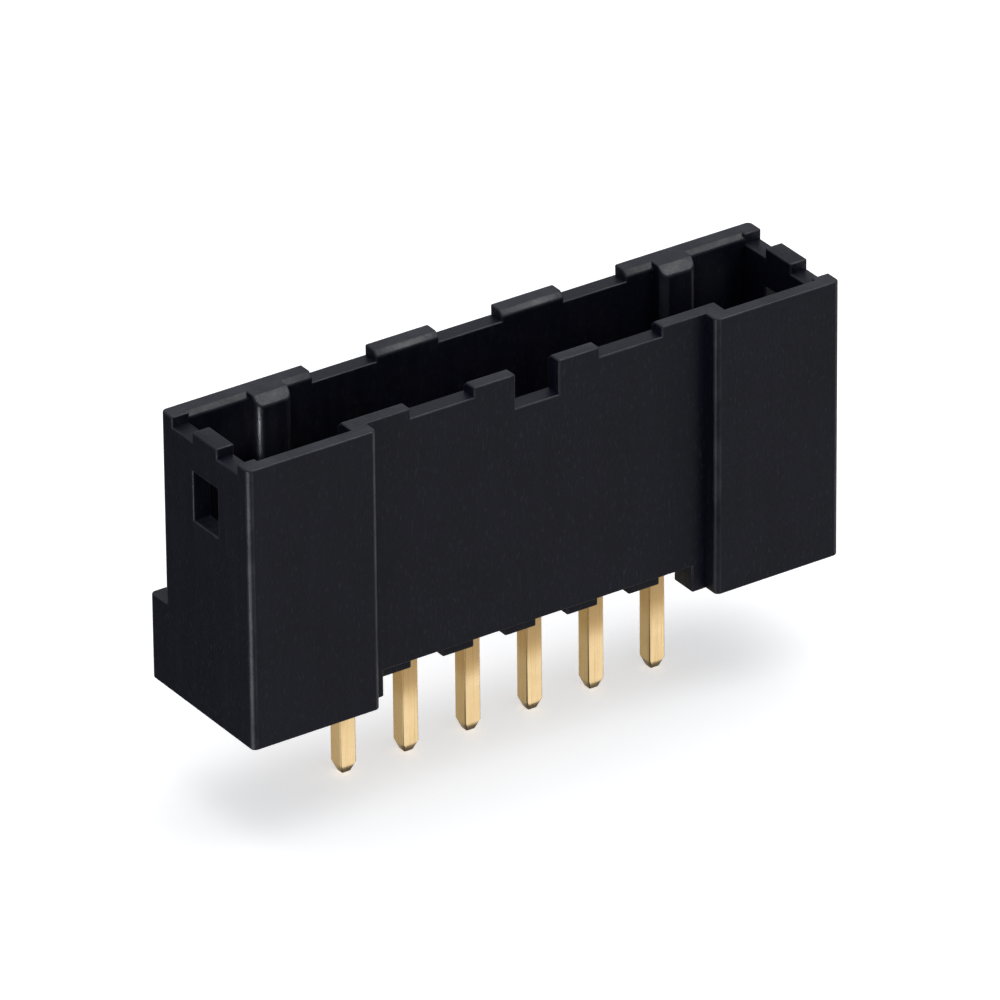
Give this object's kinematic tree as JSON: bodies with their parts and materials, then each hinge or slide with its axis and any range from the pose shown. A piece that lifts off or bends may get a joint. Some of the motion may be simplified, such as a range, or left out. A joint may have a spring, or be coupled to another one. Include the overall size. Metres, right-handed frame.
{
  "type": "pin header",
  "caption": "Upright board header: square plated posts in a row inside an open-topped black shroud with a castellated rim, a key notch, latch windows and proud end blocks.",
  "frame": {"origin": "middle of the post row, on the face of the board", "axes": "+X along the post row, -Y towards the keyed front wall, +Z out of the mouth of the shroud"},
  "size_m": [0.024, 0.0064, 0.0146],
  "materials": {
    "housing": "moulded, fine satin",
    "posts": "gold plated"
  },
  "bodies": {
    "root": {"housing": "housing", "post_1": "posts", "post_2": "posts", "post_3": "posts", "post_4": "posts", "post_5": "posts", "post_6": "posts"}
  },
  "joints": []
}
